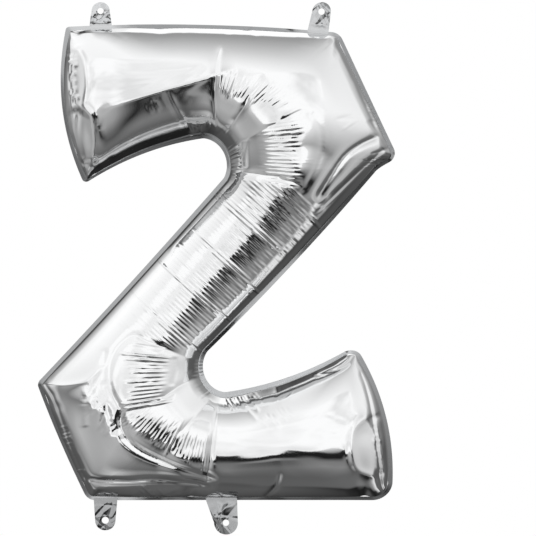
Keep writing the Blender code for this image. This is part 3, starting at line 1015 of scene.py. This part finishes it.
rim = {
    "step": 0.0022,
    "across": 5,
    "thickness": 0.0004,
    "tuck": 0.06,  # share of the weld's width by which it reaches under the film's edge
    "ruffle": 0.00022,
    "waves": ((0.060, 1.0), (0.018, 0.25)),  # lengths of the ruffle's waves with their shares
    "crimp": 0.00001,
    "crimpPitch": 0.0045,
    # rim coordinates with how far the outer edge leans towards the camera, in millimetres
    "lean": ((0.0, -1.5), (0.14, 0.0), (0.22, 0.0), (0.30, 2.2), (0.75, 2.2), (0.83, 0.0), (0.92, 0.0), (1.1, 2.4),
             (1.95, 2.4), (2.1, -2.6), (3.0, -2.6), (4.0, 2.0), (4.3, 2.2), (4.9, 2.2), (5.0, -2.4), (5.9, -2.4),
             (6.1, -2.2), (6.4, -1.6), (6.50, -0.4), (6.58, -0.4), (6.70, -1.6), (6.83, -0.4), (6.94, -0.4),
             (7.1, -2.4), (8.0, -2.4), (9.0, -2.2), (10.0, -2.4), (11.0, -1.5)),
    # rim coordinates with how much painted shade darkens the weld's colour, from 0 to 1
    "dullness": ((0.0, 0.5), (0.1, 0.1), (0.22, 0.1), (0.30, 0.7), (0.75, 0.7), (0.9, 0.3), (1.1, 0.8), (2.0, 0.8),
                 (3.0, 0.7), (4.0, 0.3), (4.6, 0.1), (5.0, 0.3), (5.1, 0.8), (5.9, 0.8), (6.1, 0.3), (6.9, 0.2),
                 (7.1, 0.9), (8.0, 0.9), (8.1, 0.7), (8.9, 0.7), (9.1, 0.3), (9.9, 0.5), (10.1, 0.8), (11.0, 0.5)),
    # share of the colour left where the painted shade is full
    "darkest": 0.35,
    "seed": 8,
}


# a smooth random line through every point of a closed loop, one bump for each period
def wander(lengths, period, chance):
    count = max(3, round(lengths[-1] / period))
    knots = chance.normal(size=count)
    where = lengths / lengths[-1] * count
    cell = np.floor(where).astype(int)
    part = smoothStep(where - cell, 0, 1)
    return knots[cell % count] * (1 - part) + knots[(cell + 1) % count] * part


def addRim(material):
    marks, points = rimPoints(letterRim, 0.0)
    count = len(letterRim)
    marks, order = np.unique(marks % count, return_index=True)
    points = points[order]
    sides = np.linalg.norm(np.diff(np.vstack((points, points[:1])), axis=0), axis=1)
    lengths = np.concatenate(((0,), np.cumsum(sides)))
    steps = round(lengths[-1] / rim["step"])
    even = np.linspace(0, lengths[-1], steps + 1)
    where = np.interp(even, lengths, np.append(marks, marks[0] + count))
    outside, inside = weldOutside(where), weldInside(where)
    chance = np.random.default_rng(rim["seed"])
    lean = np.interp(where % count, *np.array(rim["lean"]).T) * millimetre
    sway = rim["ruffle"] * sum(part * wander(even, length, chance) for length, part in rim["waves"])
    crimps = rim["crimp"] * np.sin(even * 2 * math.pi / rim["crimpPitch"])
    share = np.linspace(-rim["tuck"], 1, rim["across"] + 1)
    flat = inside[:, None] + (outside - inside)[:, None] * share[None, :, None]
    lift = -(lean + sway)[:, None] * np.clip(share, 0, 1)[None] + crimps[:, None]
    spots = np.stack((flat[..., 0], lift, flat[..., 1]), axis=-1)
    # painted shade: the weld's colour darkened at these rim coordinates
    dullness = np.interp(where % count, *np.array(rim["dullness"]).T)
    mesh = thinSheet("weldedRim", spots, dullness, rim["thickness"], rim["thickness"] / 2)
    piece = addPiece("weldedRim", mesh, material)
    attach(piece, "envelope")
    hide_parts("perimeter_seam")


# Tabs: a sheet round each punched hole, reaching out from the rim. Each has its CAD node and body,
# rim coordinate, root and end width, length, lean of its end, hole radius, bulge, twist in degrees,
# and how much painted shade darkens its colour.

tabs = {
    "sides": 144,
    "rings": 30,
    "overlap": 0.004,
    "thickness": 0.0003,
    "bend": (-0.001, 0.003),  # a stretch measured from the rim's edge
    "fadeIn": (-0.001, 0.012),  # and its bulge and folds fade in over this one
    "folds": 18,
    "foldAngle": 1.4,
    "foldPlaces": (0.1, 1.0),  # shares of the length
    "foldHeight": 0.0015,
    "foldWidth": 0.0028,
    "foldRounding": 0.0006,
    "seed": 12,
    "pieces": {
        "tabTopLeft": ("hanging_tab_top_left", "tab_top_left",
                       0.181, 0.0350, 0.0285, 0.0365, 0.0010, 0.0050, 0.004, 0.0, 0.0),
        "tabTopRight": ("hanging_tab_top_right", "tab_top_right",
                        0.877, 0.0330, 0.0290, 0.0455, 0.0030, 0.0050, -0.003, 25.0, 0.2),
        "tabBottomLeft": ("hanging_tab_bottom_left", "tab_bottom_left",
                          6.890, 0.0370, 0.0320, 0.0475, 0.0005, 0.0055, 0.001, 0.0, 0.6),
        "fillTail": ("fill_tail", "tail", 6.539, 0.0490, 0.0375, 0.0540, -0.0070, 0.0050, 0.003, -8.0, 0.5),
    },
}


# how far the tab's edge lies from the hole's middle in each direction
def tabReach(directions, root, end, length, lean, overlap):
    radius = end / 2
    outline = [(-root / 2, -overlap), (root / 2, -overlap), (root / 2, 0.0)]
    for k in range(41):
        angle = math.pi * k / 40
        outline.append((lean + radius * math.cos(angle), length - radius + radius * math.sin(angle)))
    outline.append((-root / 2, 0.0))
    outline = np.array(outline) - (lean, length - radius)
    reach = np.full(len(directions), 1e9)
    for a, b in zip(outline, np.roll(outline, -1, axis=0)):
        side = b - a
        below = directions[:, 0] * side[1] - directions[:, 1] * side[0]
        safe = np.where(np.abs(below) < 1e-12, 1e-12, below)
        along = (a[0] * side[1] - a[1] * side[0]) / safe
        share = (a[0] * directions[:, 1] - a[1] * directions[:, 0]) / safe
        good = (along > 0) & (share > -1e-6) & (share < 1 + 1e-6)
        reach = np.where(good, np.minimum(reach, along), reach)
    return reach


def addTab(name, sizes, material, chance):
    node, body, where, root, end, length, lean, hole, bulge, twist, dullness = sizes
    place = weldOutside(where)
    way = weldOutside(where + 0.02) - weldOutside(where - 0.02)
    way /= np.linalg.norm(way)
    out = np.array((-way[1], way[0]))
    angles = np.linspace(0, 2 * math.pi, tabs["sides"] + 1)
    directions = np.stack((np.cos(angles), np.sin(angles)), axis=-1)
    reach = tabReach(directions, root, end, length, lean, tabs["overlap"])
    share = np.linspace(0, 1, tabs["rings"] + 1)
    radius = hole + (reach - hole)[:, None] * share[None]
    u = lean + directions[:, 0, None] * radius
    v = length - end / 2 + directions[:, 1, None] * radius
    rise = np.clip(v / length, 0, 1)
    lift = bulge * np.sin(math.pi * rise) * (1 - (2 * u / root) ** 2 * 0.5)
    lift += np.sin(np.radians(twist)) * u * rise**1.5
    for _ in range(tabs["folds"]):
        angle = chance.uniform(-tabs["foldAngle"], tabs["foldAngle"])
        spot = chance.uniform(*tabs["foldPlaces"]) * length
        away = np.abs((v - spot) * math.cos(angle) + u * math.sin(angle))
        shape = foldShape(away, tabs["foldRounding"], tabs["foldWidth"])
        lift += chance.uniform(-tabs["foldHeight"], tabs["foldHeight"]) * shape
    flat = place + u[..., None] * way + v[..., None] * out
    spots = np.stack((flat[..., 0], -lift * smoothStep(v, *tabs["fadeIn"]), flat[..., 1]), axis=-1)
    # painted shade: the tab's colour darkened evenly
    mesh = thinSheet(name, spots, np.full(len(spots), dullness), tabs["thickness"])
    piece = addPiece(name, mesh, material)
    start, stop = (place + out * reach for reach in tabs["bend"])
    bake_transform(piece)
    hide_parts(node)


addCamera()
addStudio()
addFloor()

at, plan, height = unfold(weldInside)
report("form laid out")
folds = simulateFolds(at)
report("film blown up")
silver = foilMaterial("silverFoil", *foil["silver"])
# the welded foil's darker colour and its attribute are painted shade
welded = foilMaterial("weldedFoil", *foil["welded"], "dullness")
x, z = plan[..., 0], plan[..., 1]
edge = smoothStep(height, 0, film["edgeFade"])
crown = smoothStep(height, *cloth["crown"])[..., None]
for number, (side, name) in enumerate(((-1, "front"), (1, "back"))):
    spots = np.stack((x, side * height, z), axis=-1)
    normals = surfaceNormals(spots, side)
    carved = (carveCreases(x, z) + crumple(x, z, crumples["seed"] + number) + swell(x, z)) * edge
    ribbed = pleat(x, z, ribs["seed"] + number) * edge
    fold = folds[number] * (cloth["rimShare"] + (cloth["crownShare"] - cloth["rimShare"]) * crown)
    spots = spots + normals * ribbed[..., None] + fold
    spots[..., 1] += side * carved
    mesh = meshFromGrid(name + "Film", spots, side == 1)
    piece = addPiece(name + "Film", mesh, silver)
    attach(piece, "envelope")
    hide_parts(name + "_panel")
report("film meshed")
addRim(welded)
chance = np.random.default_rng(tabs["seed"])
for name, sizes in tabs["pieces"].items():
    addTab(name, sizes, welded, chance)
report("rim and tabs made")

bpy.context.scene.view_settings.view_transform = "Standard"
